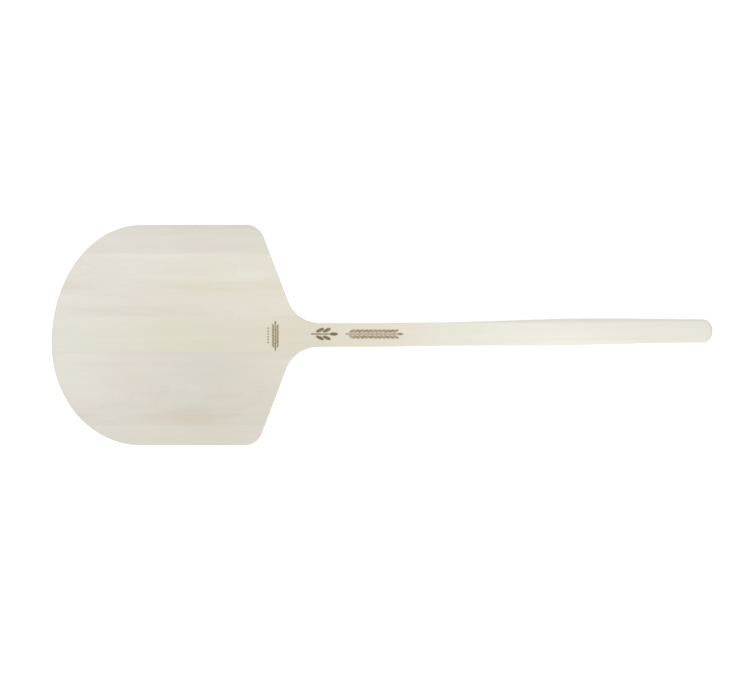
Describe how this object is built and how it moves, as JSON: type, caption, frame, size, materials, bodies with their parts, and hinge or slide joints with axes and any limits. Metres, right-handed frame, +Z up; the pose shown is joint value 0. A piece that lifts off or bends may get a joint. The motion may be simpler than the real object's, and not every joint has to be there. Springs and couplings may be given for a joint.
{
  "type": "pizza peel",
  "caption": "Long-handled flat wooden peel with a broad round-fronted blade that thins to its front edge, glued up from staves, for sliding pizza and bread into and out of an oven.",
  "frame": {"origin": "middle of the overall length and of the blade's width, on the flat underside", "axes": "+X from the blade's front edge along the handle to its butt, +Z up from the flat underside to the top, +Y to the right of someone who holds the handle"},
  "size_m": [1.0668, 0.3556, 0.0191],
  "materials": {
    "basswood": "sanded bare",
    "wood_glue": "hardened film"
  },
  "bodies": {
    "root": {"right_outer_stave": "basswood", "right_middle_stave": "basswood", "right_inner_stave": "basswood", "handle_stave": "basswood", "left_inner_stave": "basswood", "left_middle_stave": "basswood", "left_outer_stave": "basswood", "right_outer_glue": "wood_glue", "right_middle_glue": "wood_glue", "right_inner_glue": "wood_glue", "left_inner_glue": "wood_glue", "left_middle_glue": "wood_glue", "left_outer_glue": "wood_glue"}
  },
  "joints": []
}
